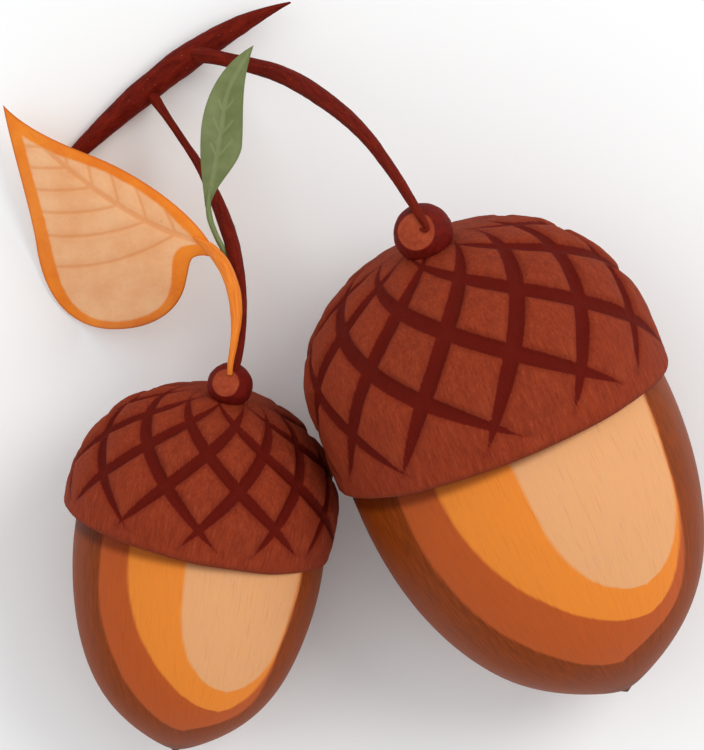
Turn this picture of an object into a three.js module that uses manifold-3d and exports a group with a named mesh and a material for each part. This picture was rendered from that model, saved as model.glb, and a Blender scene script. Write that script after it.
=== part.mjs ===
// A picked oak sprig lying on a flat surface: two capped acorns on arching stalks, one cut twig,
// a slender green leaf and a broad autumn leaf. Millimetres, +Z up. Seen from above, +X is right
// and +Y is up the twig. The acorns rest on their cup rims and on the bellies of their nuts.
import * as THREE from "three";
import { mergeVertices } from "three/addons/utils/BufferGeometryUtils.js";
import Module from "manifold-3d";

// ---- Driving dimensions ----
const GAP = 0.3; // clear space between neighbouring pieces
const SEAT = 0.15; // how deep each resting spot is flattened
const SCALE_GROOVE = 0.5; // depth of the grooves between the cup's scales
const GRID_COLUMNS = 36; // grid lines down a cup, a multiple of both counts of spirals

// The grooves run in two sets of spirals. Lean is in turns round the cup per unit of depth.
const SPIRALS = {
  backward: { count: 12, lean: -0.119 },
  forward: { count: 9, lean: 0.202 },
};

// Lengths along an acorn run from the middle of its crown towards the tip. The knob perches on
// the crown's upper side, straight above that middle.
const LARGE = {
  name: "large",
  knob: { x: 5.85, y: 10.5, radius: 2.3, perch: 3.8 },
  turn: 21.7, // the cup's heading, from straight down the sprig towards +X, degrees
  cup: { radius: 14.1, rimRadius: 14.0, crown: 0.2, widest: 13.7, rim: 16.6, fullness: 2.2 },
  nut: { radius: 12.95, top: 3.9, belly: 19.0, tip: 39.35, aside: 0.3, skew: 3.4 },
  pressed: { depth: 0.75, facing: -85 }, // the side that grew against the smaller acorn
  scales: { turned: -0.018, shift: 2 }, // where the spirals start, in turns and in grid columns
};
const SMALL = {
  name: "small",
  knob: { x: -9.05, y: -1.2, radius: 1.75, perch: 2.4 },
  turn: -12.7,
  cup: { radius: 10.75, rimRadius: 10.65, crown: 0.2, widest: 10.1, rim: 12.0, fullness: 1.95 },
  nut: { radius: 9.75, top: 3.1, belly: 12.95, tip: 29.35, aside: 0.3, skew: 5.6 },
  pressed: { depth: 0.3, facing: 80 },
  scales: { turned: -0.024, shift: 3 },
};

const TWIG = {
  route: [[-21.6, 16.5, 0.62], [-16.9, 21.1, 0.95], [-10.9, 26.4, 1.2], [-4.5, 28.6, 3.1]],
  radii: [0.6, 0.8, 0.97, 1.05, 1.05, 0.9, 0.55, 0.12],
};
const LARGE_STALK = {
  route: [
    [-11.0, 24.15, 2.95], [-8.7, 23.95, 4.4], [-5.15, 22.9, 7.5], [-1.8, 20.95, 11.6],
    [1.2, 18.3, 15.9], [3.45, 15.3, 19.3], [4.85, 13.1, 21.4],
  ],
  radii: [0.52, 0.62, 0.73, 0.72, 0.64, 0.52, 0.4],
};
const SMALL_STALK = {
  route: [
    [-14.8, 21.2, 1.9], [-13.0, 18.4, 4.0], [-11.4, 15.7, 6.7], [-10.0, 12.8, 9.6],
    [-8.85, 9.5, 12.6], [-8.25, 6.0, 15.0], [-8.2, 3.0, 16.2], [-8.5, 0.75, 16.35],
  ],
  radii: [0.26, 0.28, 0.4, 0.55, 0.6, 0.54, 0.44, 0.37],
};

// A leaf's edge is a ring of cubic curves, seen from above, counter-clockwise from its root.
const AUTUMN_LEAF = {
  start: [-10.6, 10.2],
  edge: [
    [-12.3, 12.5, -16.6, 15.4, -19.9, 16.65],
    [-22.6, 17.7, -25.3, 18.95, -26.9, 20.7],
    [-26.2, 17.1, -24.9, 13.3, -24.3, 9.8],
    [-23.95, 6.9, -22.5, 3.25, -18.3, 3.15],
    [-15.4, 3.1, -13.0, 4.3, -12.5, 6.8],
    [-12.3, 7.6, -12.25, 8.4, -11.95, 8.65],
    [-11.6, 8.85, -11.1, 8.9, -10.7, 8.75],
  ],
  middle: [-18.5, 12.0],
  thickness: 0.4,
  sides: 64,
  rings: 5,
  petiole: [
    [-9.1, -0.1, 17.5], [-8.75, 1.9, 17.75], [-8.55, 4.2, 17.35], [-8.8, 6.2, 16.3],
    [-9.45, 7.9, 15.1], [-10.5, 9.3, 13.9], [-12.1, 10.6, 12.8],
  ],
  petioleRadii: [0.26, 0.34, 0.48, 0.52, 0.52, 0.5, 0.3],
};
const GREEN_LEAF = {
  start: [-10.6, 12.6],
  edge: [
    [-10.35, 14.3, -8.45, 15.6, -8.15, 17.2],
    [-7.95, 19.8, -8.35, 22.0, -7.25, 25.2],
    [-9.65, 23.9, -11.25, 21.2, -11.35, 18.0],
    [-11.45, 16.0, -11.15, 14.2, -11.0, 12.6],
  ],
  middle: [-9.7, 18.0],
  thickness: 0.35,
  sides: 40,
  rings: 4,
  petiole: [[-9.95, 9.3, 12.4], [-10.25, 10.4, 12.5], [-10.6, 11.6, 12.6], [-10.8, 13.4, 12.7]],
  petioleRadii: [0.22, 0.22, 0.24, 0.2],
};

const COLOURS = {
  cup: { color: 0x963c23, roughness: 0.85, metalness: 0 },
  nut: { color: 0xb0612c, roughness: 0.35, metalness: 0 },
  knob: { color: 0x6b1c10, roughness: 0.7, metalness: 0 },
  wood: { color: 0x6b1a10, roughness: 0.75, metalness: 0 },
  autumnLeaf: { color: 0xe67d23, roughness: 0.6, metalness: 0 },
  greenLeaf: { color: 0x778354, roughness: 0.6, metalness: 0 },
};

// ---- Solids ----
const wasm = await Module();
wasm.setup();

function toSolid(geometry) {
  const bare = geometry.clone();
  bare.deleteAttribute("normal");
  bare.deleteAttribute("uv");
  const merged = mergeVertices(bare, 1e-4);
  return new wasm.Manifold(
    new wasm.Mesh({
      numProp: 3,
      vertProperties: merged.attributes.position.array,
      triVerts: new Uint32Array(merged.index.array),
    }),
  );
}

function toGeometry(solid) {
  const mesh = solid.getMesh();
  const geometry = new THREE.BufferGeometry();
  geometry.setAttribute("position", new THREE.BufferAttribute(mesh.vertProperties, 3));
  geometry.setIndex(new THREE.BufferAttribute(mesh.triVerts, 1));
  geometry.computeVertexNormals();
  return geometry;
}

function namedMesh(name, geometry, finish) {
  const mesh = new THREE.Mesh(geometry, new THREE.MeshStandardMaterial(finish));
  mesh.name = name;
  return mesh;
}

// Everything below the resting surface, seen from inside a placed group.
function belowSurface(group) {
  const size = 200;
  const block = new THREE.BoxGeometry(size, size, size).translate(0, 0, -size / 2);
  group.updateMatrixWorld(true);
  return toSolid(block.applyMatrix4(group.matrixWorld.clone().invert()));
}

const vectors = (points) => points.map((p) => new THREE.Vector3(...p));

// Reads a list of values spread evenly along a length, at a share from 0 to 1.
function valueAlong(values, share) {
  const place = share * (values.length - 1);
  const before = Math.min(Math.floor(place), values.length - 2);
  return THREE.MathUtils.lerp(values[before], values[before + 1], place - before);
}

// ---- Round rods that taper along a route ----
function taperedRod(route, radii, sides, steps) {
  const rod = new THREE.CylinderGeometry(1, 1, 1, sides, steps);
  const frames = route.computeFrenetFrames(steps);
  const vertices = rod.attributes.position;
  const point = new THREE.Vector3();
  for (let i = 0; i < vertices.count; i++) {
    point.fromBufferAttribute(vertices, i);
    const share = 0.5 - point.y;
    const step = Math.round(share * steps);
    const radius = valueAlong(radii, share);
    const across = point.x * radius;
    const up = point.z * radius;
    point.copy(route.getPointAt(share));
    point.addScaledVector(frames.normals[step], across);
    point.addScaledVector(frames.binormals[step], up);
    vertices.setXYZ(i, point.x, point.y, point.z);
  }
  return rod;
}

// ---- Acorns ----
// The nut is an egg: a full round shoulder hidden in the cup, and a nose drawn out to a point.
function nutRadius(nut, along) {
  if (along < nut.belly) {
    const share = (nut.belly - along) / (nut.belly - nut.top);
    return nut.radius * Math.pow(Math.max(0, 1 - Math.pow(share, 2.5)), 1 / 2.5);
  }
  const share = (along - nut.belly) / (nut.tip - nut.belly);
  const drawnIn = 1 - 0.45 * Math.pow(share, 10);
  return nut.radius * Math.sqrt(Math.max(0, 1 - share * share)) * drawnIn;
}

function nutGeometry(nut, grow, steps, sides) {
  const profile = [];
  for (let i = 0; i <= steps; i++) {
    const share = (1 - Math.cos((Math.PI * i) / steps)) / 2;
    const along = THREE.MathUtils.lerp(nut.tip, nut.top, share);
    const atEnd = i === 0 || i === steps;
    const pushed = along + (share < 0.5 ? grow : -grow) * Math.abs(1 - 2 * share);
    profile.push(new THREE.Vector2(atEnd ? 0 : nutRadius(nut, along) + grow, -pushed));
  }
  return new THREE.LatheGeometry(profile, sides);
}

// The cup's outside: a dome down to its widest ring, then a short skirt drawn in to the rim.
function cupRadius(cup, along) {
  if (along < cup.widest) {
    const share = (cup.widest - along) / (cup.widest - cup.crown);
    const full = cup.fullness;
    return cup.radius * Math.pow(Math.max(0, 1 - Math.pow(share, full)), 1 / full);
  }
  const share = (along - cup.widest) / (cup.rim - cup.widest);
  return THREE.MathUtils.lerp(cup.radius, cup.rimRadius, share * share);
}

// Depth down the cup is measured so that the scales narrow only a little towards the crown.
function scaleSize(cup, radius) {
  return Math.pow(radius, 0.3) * Math.pow(cup.radius, 0.7);
}

// One row of the grid is the depth at which the two sets of spirals part by one column.
const ROW_DEPTH = 1 / (GRID_COLUMNS * (SPIRALS.forward.lean - SPIRALS.backward.lean));

function cupRows(cup) {
  const fine = 600;
  const rows = [cup.crown];
  let depth = 0;
  let last = new THREE.Vector2(0, cup.crown);
  const along = (i) => cup.crown + (cup.rim - cup.crown) * Math.pow(i / fine, 2);
  for (let i = 1; i <= fine; i++) {
    const here = new THREE.Vector2(cupRadius(cup, along(i)), along(i));
    depth += here.distanceTo(last) / scaleSize(cup, here.x);
    if (depth >= rows.length * ROW_DEPTH) rows.push(along(i));
    last = here;
  }
  return rows.slice(0, -1).concat(cup.rim);
}

// How deep the ground between the scales lies at one crossing of the grid. The columns lean with
// one set of spirals and the grid's diagonals lean with the other, so both grooves follow it.
function grooveDepth(column, row, lastRow, shift) {
  const onBackward = column % (GRID_COLUMNS / SPIRALS.backward.count) === 0;
  const apart = GRID_COLUMNS / SPIRALS.forward.count;
  const onForward = (column - row + GRID_COLUMNS - shift) % apart === 0;
  const fadeIn = THREE.MathUtils.smoothstep(row, 2, 6);
  const fadeOut = THREE.MathUtils.smoothstep(lastRow - row, 1, 3);
  return onBackward || onForward ? SCALE_GROOVE * fadeIn * fadeOut : 0;
}

// The shallow flat where the cup grew against its neighbour.
function pressDepth(spec, turn, along) {
  const aside = Math.cos(turn - THREE.MathUtils.degToRad(spec.pressed.facing));
  const round = THREE.MathUtils.smoothstep(aside, 0.6, 1.0);
  const down = THREE.MathUtils.smoothstep(along, 0.35 * spec.cup.widest, 0.95 * spec.cup.widest);
  return spec.pressed.depth * round * down;
}

function cupGeometry(spec) {
  const cup = spec.cup;
  const rows = cupRows(cup);
  const profile = rows.map((along) => new THREE.Vector2(cupRadius(cup, along), -along));
  profile[0].x = 0;
  profile.push(new THREE.Vector2(0, -cup.rim));
  profile.reverse();
  const dome = new THREE.LatheGeometry(profile, GRID_COLUMNS);
  const vertices = dome.attributes.position;
  for (let i = 0; i < vertices.count; i++) {
    const column = Math.floor(i / profile.length);
    const row = profile.length - 1 - (i % profile.length);
    if (row <= 0 || row > rows.length - 1) continue;
    const lean = SPIRALS.backward.lean * ROW_DEPTH * row;
    const turn = 2 * Math.PI * (column / GRID_COLUMNS + lean + spec.scales.turned);
    const sunk = grooveDepth(column, row, rows.length - 1, spec.scales.shift);
    const kept = cupRadius(cup, rows[row]) - sunk - pressDepth(spec, turn, rows[row]);
    vertices.setX(i, kept * Math.sin(turn));
    vertices.setZ(i, kept * Math.cos(turn));
  }
  return dome;
}

// The tilt at which the rim and the nut's belly both touch the surface.
function restingTilt(spec) {
  let least = Infinity;
  for (let past = 2; past < 16; past += 0.25) {
    const room = spec.cup.rimRadius - nutRadius(spec.nut, spec.cup.rim + past);
    least = Math.min(least, room / past);
  }
  return Math.atan(least);
}

function placeNut(nut, rim) {
  const seat = new THREE.Group();
  seat.position.set(nut.aside, -rim, 0);
  seat.rotation.z = THREE.MathUtils.degToRad(nut.skew);
  return seat;
}

const knobGeometry = (radius) => new THREE.SphereGeometry(radius, 20, 14);

function buildAcorn(spec) {
  const { cup, nut, knob } = spec;
  const tilt = restingTilt(spec);
  const rimHeight = cup.rimRadius * Math.cos(tilt) - SEAT;
  const acorn = new THREE.Group();
  acorn.position.set(knob.x, knob.y, rimHeight + cup.rim * Math.sin(tilt));
  acorn.rotation.set(tilt, 0, THREE.MathUtils.degToRad(spec.turn), "ZXY");

  const seat = placeNut(nut, cup.rim);
  const nutShape = nutGeometry(nut, 0, 26, 40).translate(0, cup.rim, 0);
  acorn.add(seat);
  acorn.updateMatrixWorld(true);
  const nutSolid = toSolid(nutShape).subtract(belowSurface(seat));
  seat.add(namedMesh("nut_" + spec.name, toGeometry(nutSolid), COLOURS.nut));

  const perch = new THREE.Vector3(0, Math.sin(tilt), Math.cos(tilt)).multiplyScalar(knob.perch);
  const ball = namedMesh("knob_" + spec.name, knobGeometry(knob.radius), COLOURS.knob);
  ball.position.copy(perch);
  acorn.add(ball);

  seat.updateMatrix();
  const hollow = nutGeometry(nut, GAP, 26, 40).translate(0, cup.rim, 0).applyMatrix4(seat.matrix);
  const socket = knobGeometry(knob.radius + GAP).translate(...perch);
  const cupSolid = toSolid(cupGeometry(spec))
    .subtract(toSolid(hollow))
    .subtract(toSolid(socket))
    .subtract(belowSurface(acorn));
  acorn.add(namedMesh("cup_" + spec.name, toGeometry(cupSolid), COLOURS.cup));
  return acorn;
}

// ---- Leaves ----
function leafOutline(leaf) {
  const outline = new THREE.Path();
  outline.moveTo(...leaf.start);
  leaf.edge.forEach((curve) => outline.bezierCurveTo(...curve));
  outline.lineTo(...leaf.start);
  return outline;
}

// A thin disc of rings, stretched out to the leaf's edge and bent to its height over the surface.
function leafBlade(leaf, heightAt) {
  const half = leaf.thickness / 2;
  const profile = [new THREE.Vector2(0, -half)];
  for (let ring = 1; ring <= leaf.rings; ring++) {
    profile.push(new THREE.Vector2(ring / leaf.rings, -half));
  }
  for (let ring = leaf.rings; ring >= 1; ring--) {
    profile.push(new THREE.Vector2(ring / leaf.rings, half));
  }
  profile.push(new THREE.Vector2(0, half));
  const blade = new THREE.LatheGeometry(profile, leaf.sides);
  const outline = leafOutline(leaf);
  const vertices = blade.attributes.position;
  for (let i = 0; i < vertices.count; i++) {
    const spoke = Math.floor(i / profile.length) % leaf.sides;
    const out = profile[i % profile.length];
    const edge = outline.getPointAt(spoke / leaf.sides);
    const x = THREE.MathUtils.lerp(leaf.middle[0], edge.x, out.x);
    const y = THREE.MathUtils.lerp(leaf.middle[1], edge.y, out.x);
    vertices.setXYZ(i, x, y, heightAt(x, y) + out.y);
  }
  return blade;
}

// The autumn leaf hangs from its root, droops on both sides of its midrib, and lies along the
// surface where its lower edge comes down to it.
function autumnLeafHeight(x, y) {
  const root = { x: -11.0, y: 10.0, z: 13.4 };
  const along = -0.832 * (x - root.x) + 0.555 * (y - root.y);
  const aside = -0.555 * (x - root.x) - 0.832 * (y - root.y);
  const hanging =
    root.z - 0.42 * along - 0.01 * along * along - 0.5 * aside - 0.055 * aside * aside;
  return (hanging + Math.hypot(hanging, 1.5)) / 2;
}

// The green leaf stands off its stalk and bows down to its tip, slightly cupped across.
function greenLeafHeight(x, y) {
  const along = y - 12.6;
  const aside = x - (-10.65 + 0.2 * along);
  return 12.7 + 0.12 * along - 0.034 * along * along + 0.12 * aside * aside;
}

function buildLeaf(name, leaf, heightAt, finish) {
  const petiole = new THREE.CatmullRomCurve3(vectors(leaf.petiole));
  const rod = taperedRod(petiole, leaf.petioleRadii, 8, 14);
  const whole = toSolid(leafBlade(leaf, heightAt)).add(toSolid(rod));
  return namedMesh(name, toGeometry(whole), finish);
}

// ---- The sprig ----
function buildTwig() {
  const route = new THREE.CubicBezierCurve3(...vectors(TWIG.route));
  const rod = toSolid(taperedRod(route, TWIG.radii, 12, 24));
  return namedMesh("twig", toGeometry(rod.subtract(belowSurface(new THREE.Group()))), COLOURS.wood);
}

function buildStalk(name, stalk) {
  const route = new THREE.CatmullRomCurve3(vectors(stalk.route));
  return namedMesh(name, taperedRod(route, stalk.radii, 10, 24), COLOURS.wood);
}

const sprig = new THREE.Group();
sprig.add(buildTwig());
sprig.add(buildStalk("stalk_large", LARGE_STALK));
sprig.add(buildStalk("stalk_small", SMALL_STALK));
sprig.add(buildAcorn(LARGE));
sprig.add(buildAcorn(SMALL));
sprig.add(buildLeaf("leaf_autumn", AUTUMN_LEAF, autumnLeafHeight, COLOURS.autumnLeaf));
sprig.add(buildLeaf("leaf_green", GREEN_LEAF, greenLeafHeight, COLOURS.greenLeaf));

// The origin is on the resting surface, under the middle of the whole sprig.
const extent = new THREE.Box3().setFromObject(sprig, true);
const middle = extent.getCenter(new THREE.Vector3());
sprig.position.set(-middle.x, -middle.y, 0);

const part = new THREE.Group();
part.add(sprig);
export default part;
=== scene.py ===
"""A picked oak sprig lying on a pale table: two capped acorns, their stalks, a twig and two leaves.

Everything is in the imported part's frame, +Z up. Sizes are written in millimetres, as the part's own
dimensions are, and turned into metres when a mesh is made. Each piece is one closed mesh.
"""

import math

import bpy
import numpy as np
from mathutils import Matrix, Vector, noise


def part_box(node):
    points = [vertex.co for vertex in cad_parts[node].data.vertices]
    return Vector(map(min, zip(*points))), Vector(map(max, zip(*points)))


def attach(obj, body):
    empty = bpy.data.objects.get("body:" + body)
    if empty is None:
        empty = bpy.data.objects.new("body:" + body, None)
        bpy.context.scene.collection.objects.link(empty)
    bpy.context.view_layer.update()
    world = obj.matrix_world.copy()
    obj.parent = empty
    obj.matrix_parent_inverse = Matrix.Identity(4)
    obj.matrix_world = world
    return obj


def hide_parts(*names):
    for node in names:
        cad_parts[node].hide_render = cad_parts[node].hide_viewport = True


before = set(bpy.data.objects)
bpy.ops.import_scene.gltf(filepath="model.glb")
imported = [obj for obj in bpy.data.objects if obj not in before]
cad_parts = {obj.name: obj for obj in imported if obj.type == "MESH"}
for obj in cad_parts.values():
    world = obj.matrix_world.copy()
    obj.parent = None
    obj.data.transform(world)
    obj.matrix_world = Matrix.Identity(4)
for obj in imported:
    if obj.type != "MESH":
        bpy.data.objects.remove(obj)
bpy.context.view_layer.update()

MM = 0.001
TAU = 2 * math.pi

# ---- The acorns' dimensions. Lengths along an acorn run from its crown's middle to its tip. ----
# The knob perches on the crown's upper side, straight above that middle. Its dished face carries
# a painted highlight, a paler patch turned `towards` a direction and `size` degrees from its middle
# to its edge. `spirals` says where the two sets of grooves start.
LARGE = {
    "name": "large",
    "knob": 2.3,
    "perch": 3.8,
    "turn": 21.7,
    "cup": {"radius": 14.1, "rim_radius": 14.0, "crown": 0.2, "widest": 13.7, "rim": 16.6},
    "fullness": 2.2,
    "nut": {"radius": 12.95, "top": 3.9, "belly": 19.0, "tip": 39.35, "aside": 0.3, "skew": 3.4},
    "pressed": {"depth": 0.75, "facing": -85},
    "spirals": (0.22, 0.68),
    "face": {"towards": (-0.3, 0.06, 0.95), "size": 39},
    "seed": 11,
}
SMALL = {
    "name": "small",
    "knob": 1.75,
    "perch": 2.4,
    "turn": -12.7,
    "cup": {"radius": 10.75, "rim_radius": 10.65, "crown": 0.2, "widest": 10.1, "rim": 12.0},
    "fullness": 1.95,
    "nut": {"radius": 9.75, "top": 3.1, "belly": 12.95, "tip": 29.35, "aside": 0.3, "skew": 5.6},
    "pressed": {"depth": 0.3, "facing": 80},
    "spirals": (0.29, 0.40),
    "face": {"towards": (-0.22, 0.12, 0.96), "size": 36},
    "seed": 23,
}

# The scales stand between two sets of spiral grooves: how many go round, and how they lean. A scale
# lifts towards its tip, which is its corner nearest the rim, and differs a little from the next.
BACKWARD = {"count": 12, "lean": 1.43}
FORWARD = {"count": 9, "lean": -1.82}
GROOVE_HALF_WIDTH = 0.56
GROOVE_DEPTH = 0.42
SCALE_HEIGHT = 0.2
SCALE_TIP_LIFT = 0.22
SCALE_UNEVENNESS = 0.06
CUP_LIP = 0.55
HOLLOW_CLEARANCE = 0.1

# A cup's woody wrinkles, finer fibres and uneven wall, and the waves of its lip.
WRINKLES = {"scale": 0.9, "height": 0.05}
FIBRES = {"scale": 4.2, "height": 0.022, "stretch": (1, 1, 0.35)}
UNEVEN_WALL = {"scale": 0.14, "height": 0.14}
LIP_WAVE = 0.13

# The finer relief of a nut: ridges down its shell, dents in its roundness, and the point at its tip.
NUT_RIDGES = {"counts": (5, 9, 14, 23, 37), "height": 0.035}
NUT_DENTS = {"scale": 0.16, "share": 0.006}
UMBO = {"before_tip": 0.8, "past_tip": 0.3, "width": 0.12}

# A knob's face is dished, with a raised rim round it and faint growth rings on it.
KNOB_FACE = {"dish": 0.05, "rim": 0.04, "rim_width": 0.16, "rings": 0.012, "ring_pitch": 9}

# The nut's bands of painted light and shade: rust, orange and peach zones, each paler than the last,
# painted on its upper side over the shell's dark brown, the peach being a painted highlight. A band's
# left and right edges are sines of the angle round the nut, and it closes at `close`. Ends are shares of
# the way from the rim to the tip. An edge's bow says how late it turns in, and its roundness how blunt it
# ends.
PAINTED_LIGHT_BANDS = {
    "rust": {"left": -0.755, "close": 0.12, "end": 0.84, "bows": (2.9, 18), "roundness": (2.1, 0.83)},
    "orange": {"left": -0.52, "close": 0.46, "end": 0.715, "bows": (2.2, 7), "roundness": (1.9, 2)},
    "peach": {"left": -0.055, "close": 0.46, "end": 0.61, "bows": (4.0, 7), "roundness": (1.65, 2)},
}
BAND_RIGHT = 0.84
BAND_DRAWN_IN = 0.07

# ---- Stalks, twig and leaves, by the same routes as the part's own ----
# `bark` is how rough a rod is, as a share of its radius. Its swellings are given as a share of the
# way along, a width in the same shares and a height.
TWIG = {
    "route": [(-21.6, 16.5, 0.62), (-16.9, 21.1, 0.95), (-10.9, 26.4, 1.2), (-4.45, 28.65, 3.1)],
    "radii": [0.6, 0.8, 0.97, 1.06, 1.06, 0.92, 0.58, 0.08],
    "rows": 150,
    "columns": 40,
    "bark": 0.045,
    "swellings": [(0.33, 0.04, 0.06), (0.53, 0.05, 0.07), (0.8, 0.02, 0.03)],
    "seed": 3,
}
LARGE_STALK = {
    "route": [
        (-12.6, 24.4, 1.2), (-11.8, 24.6, 2.0), (-10.9, 24.5, 3.0), (-8.7, 24.0, 4.4),
        (-5.15, 22.95, 7.5), (-1.8, 20.95, 11.6), (1.2, 18.3, 15.9), (3.45, 15.3, 19.4),
        (4.85, 13.1, 21.5), (5.35, 12.25, 22.25), (5.75, 11.55, 22.75), (6.05, 11.05, 22.87),
        (6.15, 10.75, 22.88), (5.95, 10.65, 22.88), (5.65, 10.8, 22.87),
    ],
    "radii": [
        0.62, 0.58, 0.56, 0.57, 0.6, 0.64, 0.68, 0.71, 0.72, 0.72, 0.71, 0.69,
        0.66, 0.63, 0.6, 0.56, 0.52, 0.49, 0.46, 0.43, 0.41, 0.38, 0.32, 0.12,
    ],
    "rows": 170,
    "columns": 32,
    "bark": 0.05,
    "swellings": [(0.04, 0.04, 0.1)],
    "seed": 4,
}
SMALL_STALK = {
    "route": [
        (-15.5, 21.8, 1.2), (-14.9, 20.95, 1.9), (-13.1, 18.3, 4.0), (-11.4, 15.7, 6.7),
        (-10.0, 12.8, 9.6), (-8.85, 9.5, 12.6), (-8.25, 6.0, 15.0), (-8.2, 3.0, 16.2),
        (-8.5, 0.75, 16.4), (-8.8, -0.15, 16.2),
    ],
    "radii": [0.42, 0.31, 0.3, 0.38, 0.54, 0.6, 0.56, 0.48, 0.4, 0.36],
    "rows": 150,
    "columns": 28,
    "bark": 0.05,
    "swellings": [(0.0, 0.05, 0.1)],
    "seed": 5,
}
BARK_RIDGE_COUNTS = (3, 5, 8, 13)

# A leaf's edge is a closed run of cubic curves from its root. Its side veins leave the midrib at
# `vein_places`, shares of the way along it, and its edge waves by `ruffle`.
AUTUMN = {
    "start": (-10.55, 9.7),
    "edge": [
        (-12.2, 12.5, -16.6, 15.4, -19.9, 16.65),
        (-22.6, 17.7, -25.3, 18.95, -26.9, 20.7),
        (-26.2, 17.1, -24.9, 13.3, -24.3, 9.8),
        (-23.95, 6.9, -22.5, 3.25, -18.3, 3.15),
        (-15.4, 3.1, -13.0, 4.3, -12.5, 6.8),
        (-12.3, 7.6, -12.25, 8.4, -11.95, 8.65),
        (-11.6, 8.85, -11.1, 8.9, -10.7, 8.75),
    ],
    "middle": (-18.5, 12.0),
    "midrib": [(-10.9, 9.75), (-14.5, 11.0), (-19.0, 13.6), (-23.6, 17.3), (-26.7, 20.4)],
    "vein_places": [0.13, 0.26, 0.39, 0.52, 0.65, 0.78],
    "vein_angle": 52,
    "ruffle": 0.35,
    "thickness": 0.24,
    "seed": 31,
    "stem": {
        "route": [
            (-9.05, -0.35, 17.05), (-9.0, 0.5, 17.5), (-8.75, 1.9, 17.75), (-8.55, 4.2, 17.35),
            (-8.8, 6.2, 16.3), (-9.45, 7.9, 15.1), (-10.2, 8.95, 14.1), (-10.85, 9.6, 13.45),
            (-11.8, 10.2, 12.95),
        ],
        "radii": [0.2, 0.26, 0.34, 0.48, 0.53, 0.54, 0.54, 0.44, 0.16],
        "rows": 120,
        "columns": 28,
        "bark": 0.03,
        "swellings": [],
        "seed": 6,
    },
}
GREEN = {
    "start": (-10.6, 12.6),
    "edge": [
        (-10.35, 14.3, -8.45, 15.6, -8.15, 17.2),
        (-7.95, 19.8, -8.35, 22.0, -7.25, 25.2),
        (-9.65, 23.9, -11.25, 21.2, -11.35, 18.0),
        (-11.45, 16.0, -11.15, 14.2, -11.0, 12.6),
    ],
    "middle": (-9.7, 18.0),
    "midrib": [(-10.8, 12.7), (-10.25, 15.5), (-9.75, 18.5), (-9.25, 21.5), (-7.55, 24.85)],
    "vein_places": [0.16, 0.3, 0.44, 0.58, 0.72, 0.85],
    "vein_angle": 38,
    "ruffle": 0.12,
    "thickness": 0.2,
    "seed": 37,
    "stem": {
        "route": [
            (-9.3, 8.6, 12.6), (-9.65, 9.4, 12.6), (-10.15, 10.4, 12.6), (-10.6, 11.6, 12.7),
            (-10.75, 12.8, 12.75), (-10.65, 14.2, 12.8),
        ],
        "radii": [0.22, 0.22, 0.22, 0.24, 0.2, 0.1],
        "rows": 80,
        "columns": 20,
        "bark": 0.03,
        "swellings": [],
        "seed": 7,
    },
}
AUTUMN_ROOT = (-11.0, 10.0, 13.4)
AUTUMN_DIRECTION = (-0.832, 0.555)
GREEN_ROOT = (-10.65, 12.6, 12.7)
MIDRIB = {"depth": 0.10, "width": 0.32}
SIDE_VEIN = {"depth": 0.05, "width": 0.2, "step": 0.2, "bow": 0.012, "short_of_edge": 0.75}

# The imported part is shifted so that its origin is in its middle. The larger knob shows by how much.
LARGE_KNOB_DESIGN = Vector((5.85, 10.5, 0.0))


def box_middle(node):
    """The middle of a CAD node's box, in millimetres."""
    low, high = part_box(node)
    return (low + high) / (2 * MM)


SHIFT = box_middle("knob_large") - LARGE_KNOB_DESIGN
SHIFT.z = 0.0


# ---- Number helpers ----
def smoothstep(low, high, value):
    """0 below low, 1 above high, and a smooth change between."""
    share = np.clip((value - low) / (high - low), 0.0, 1.0)
    return share * share * (3 - 2 * share)


def noise_field(points, scale, seed):
    """Smooth noise from -1 to 1 at each of an array of points."""
    flat = np.reshape(points, (-1, 3)) * scale + seed * 7.31
    values = np.fromiter((noise.noise(p) for p in flat), float, len(flat))
    return values.reshape(np.shape(points)[:-1])


def resample(points, count):
    """Points spread evenly along a polyline."""
    steps = np.linalg.norm(np.diff(points, axis=0), axis=1)
    travelled = np.concatenate([[0.0], np.cumsum(steps)])
    wanted = np.linspace(0.0, travelled[-1], count)
    return np.stack([np.interp(wanted, travelled, points[:, k]) for k in range(points.shape[1])], 1)


def curve_through(points, count):
    """A smooth centripetal curve through the given points, evenly sampled."""
    given = np.array(points, float)
    ends = [2 * given[:1] - given[1:2], given, 2 * given[-1:] - given[-2:-1]]
    p = np.concatenate(ends)
    dense = []
    t = np.linspace(0, 1, 40, endpoint=False)[:, None]
    for i in range(1, len(p) - 2):
        d0, d1, d2 = (math.sqrt(np.linalg.norm(p[k + 1] - p[k])) for k in (i - 1, i, i + 1))
        m1 = (p[i] - p[i - 1]) / d0 - (p[i + 1] - p[i - 1]) / (d0 + d1) + (p[i + 1] - p[i]) / d1
        m2 = (p[i + 1] - p[i]) / d1 - (p[i + 2] - p[i]) / (d1 + d2) + (p[i + 2] - p[i + 1]) / d2
        h = (2 * t**3 - 3 * t**2 + 1) * p[i] + (t**3 - 2 * t**2 + t) * m1 * d1
        dense.append(h + (3 * t**2 - 2 * t**3) * p[i + 1] + (t**3 - t**2) * m2 * d1)
    dense.append(p[-2:-1])
    return resample(np.concatenate(dense), count)


def bezier(start, edge, steps):
    """Points along one or more cubic curves joined end to end."""
    t = np.linspace(0, 1, steps, endpoint=False)[:, None]
    points = []
    a = np.array(start, float)
    for piece in edge:
        b, c, d = np.array(piece, float).reshape(3, -1)
        points.append((1 - t) ** 3 * a + 3 * (1 - t) ** 2 * t * b + 3 * (1 - t) * t * t * c + t**3 * d)
        a = d
    points.append(a[None])
    return np.concatenate(points)


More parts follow.
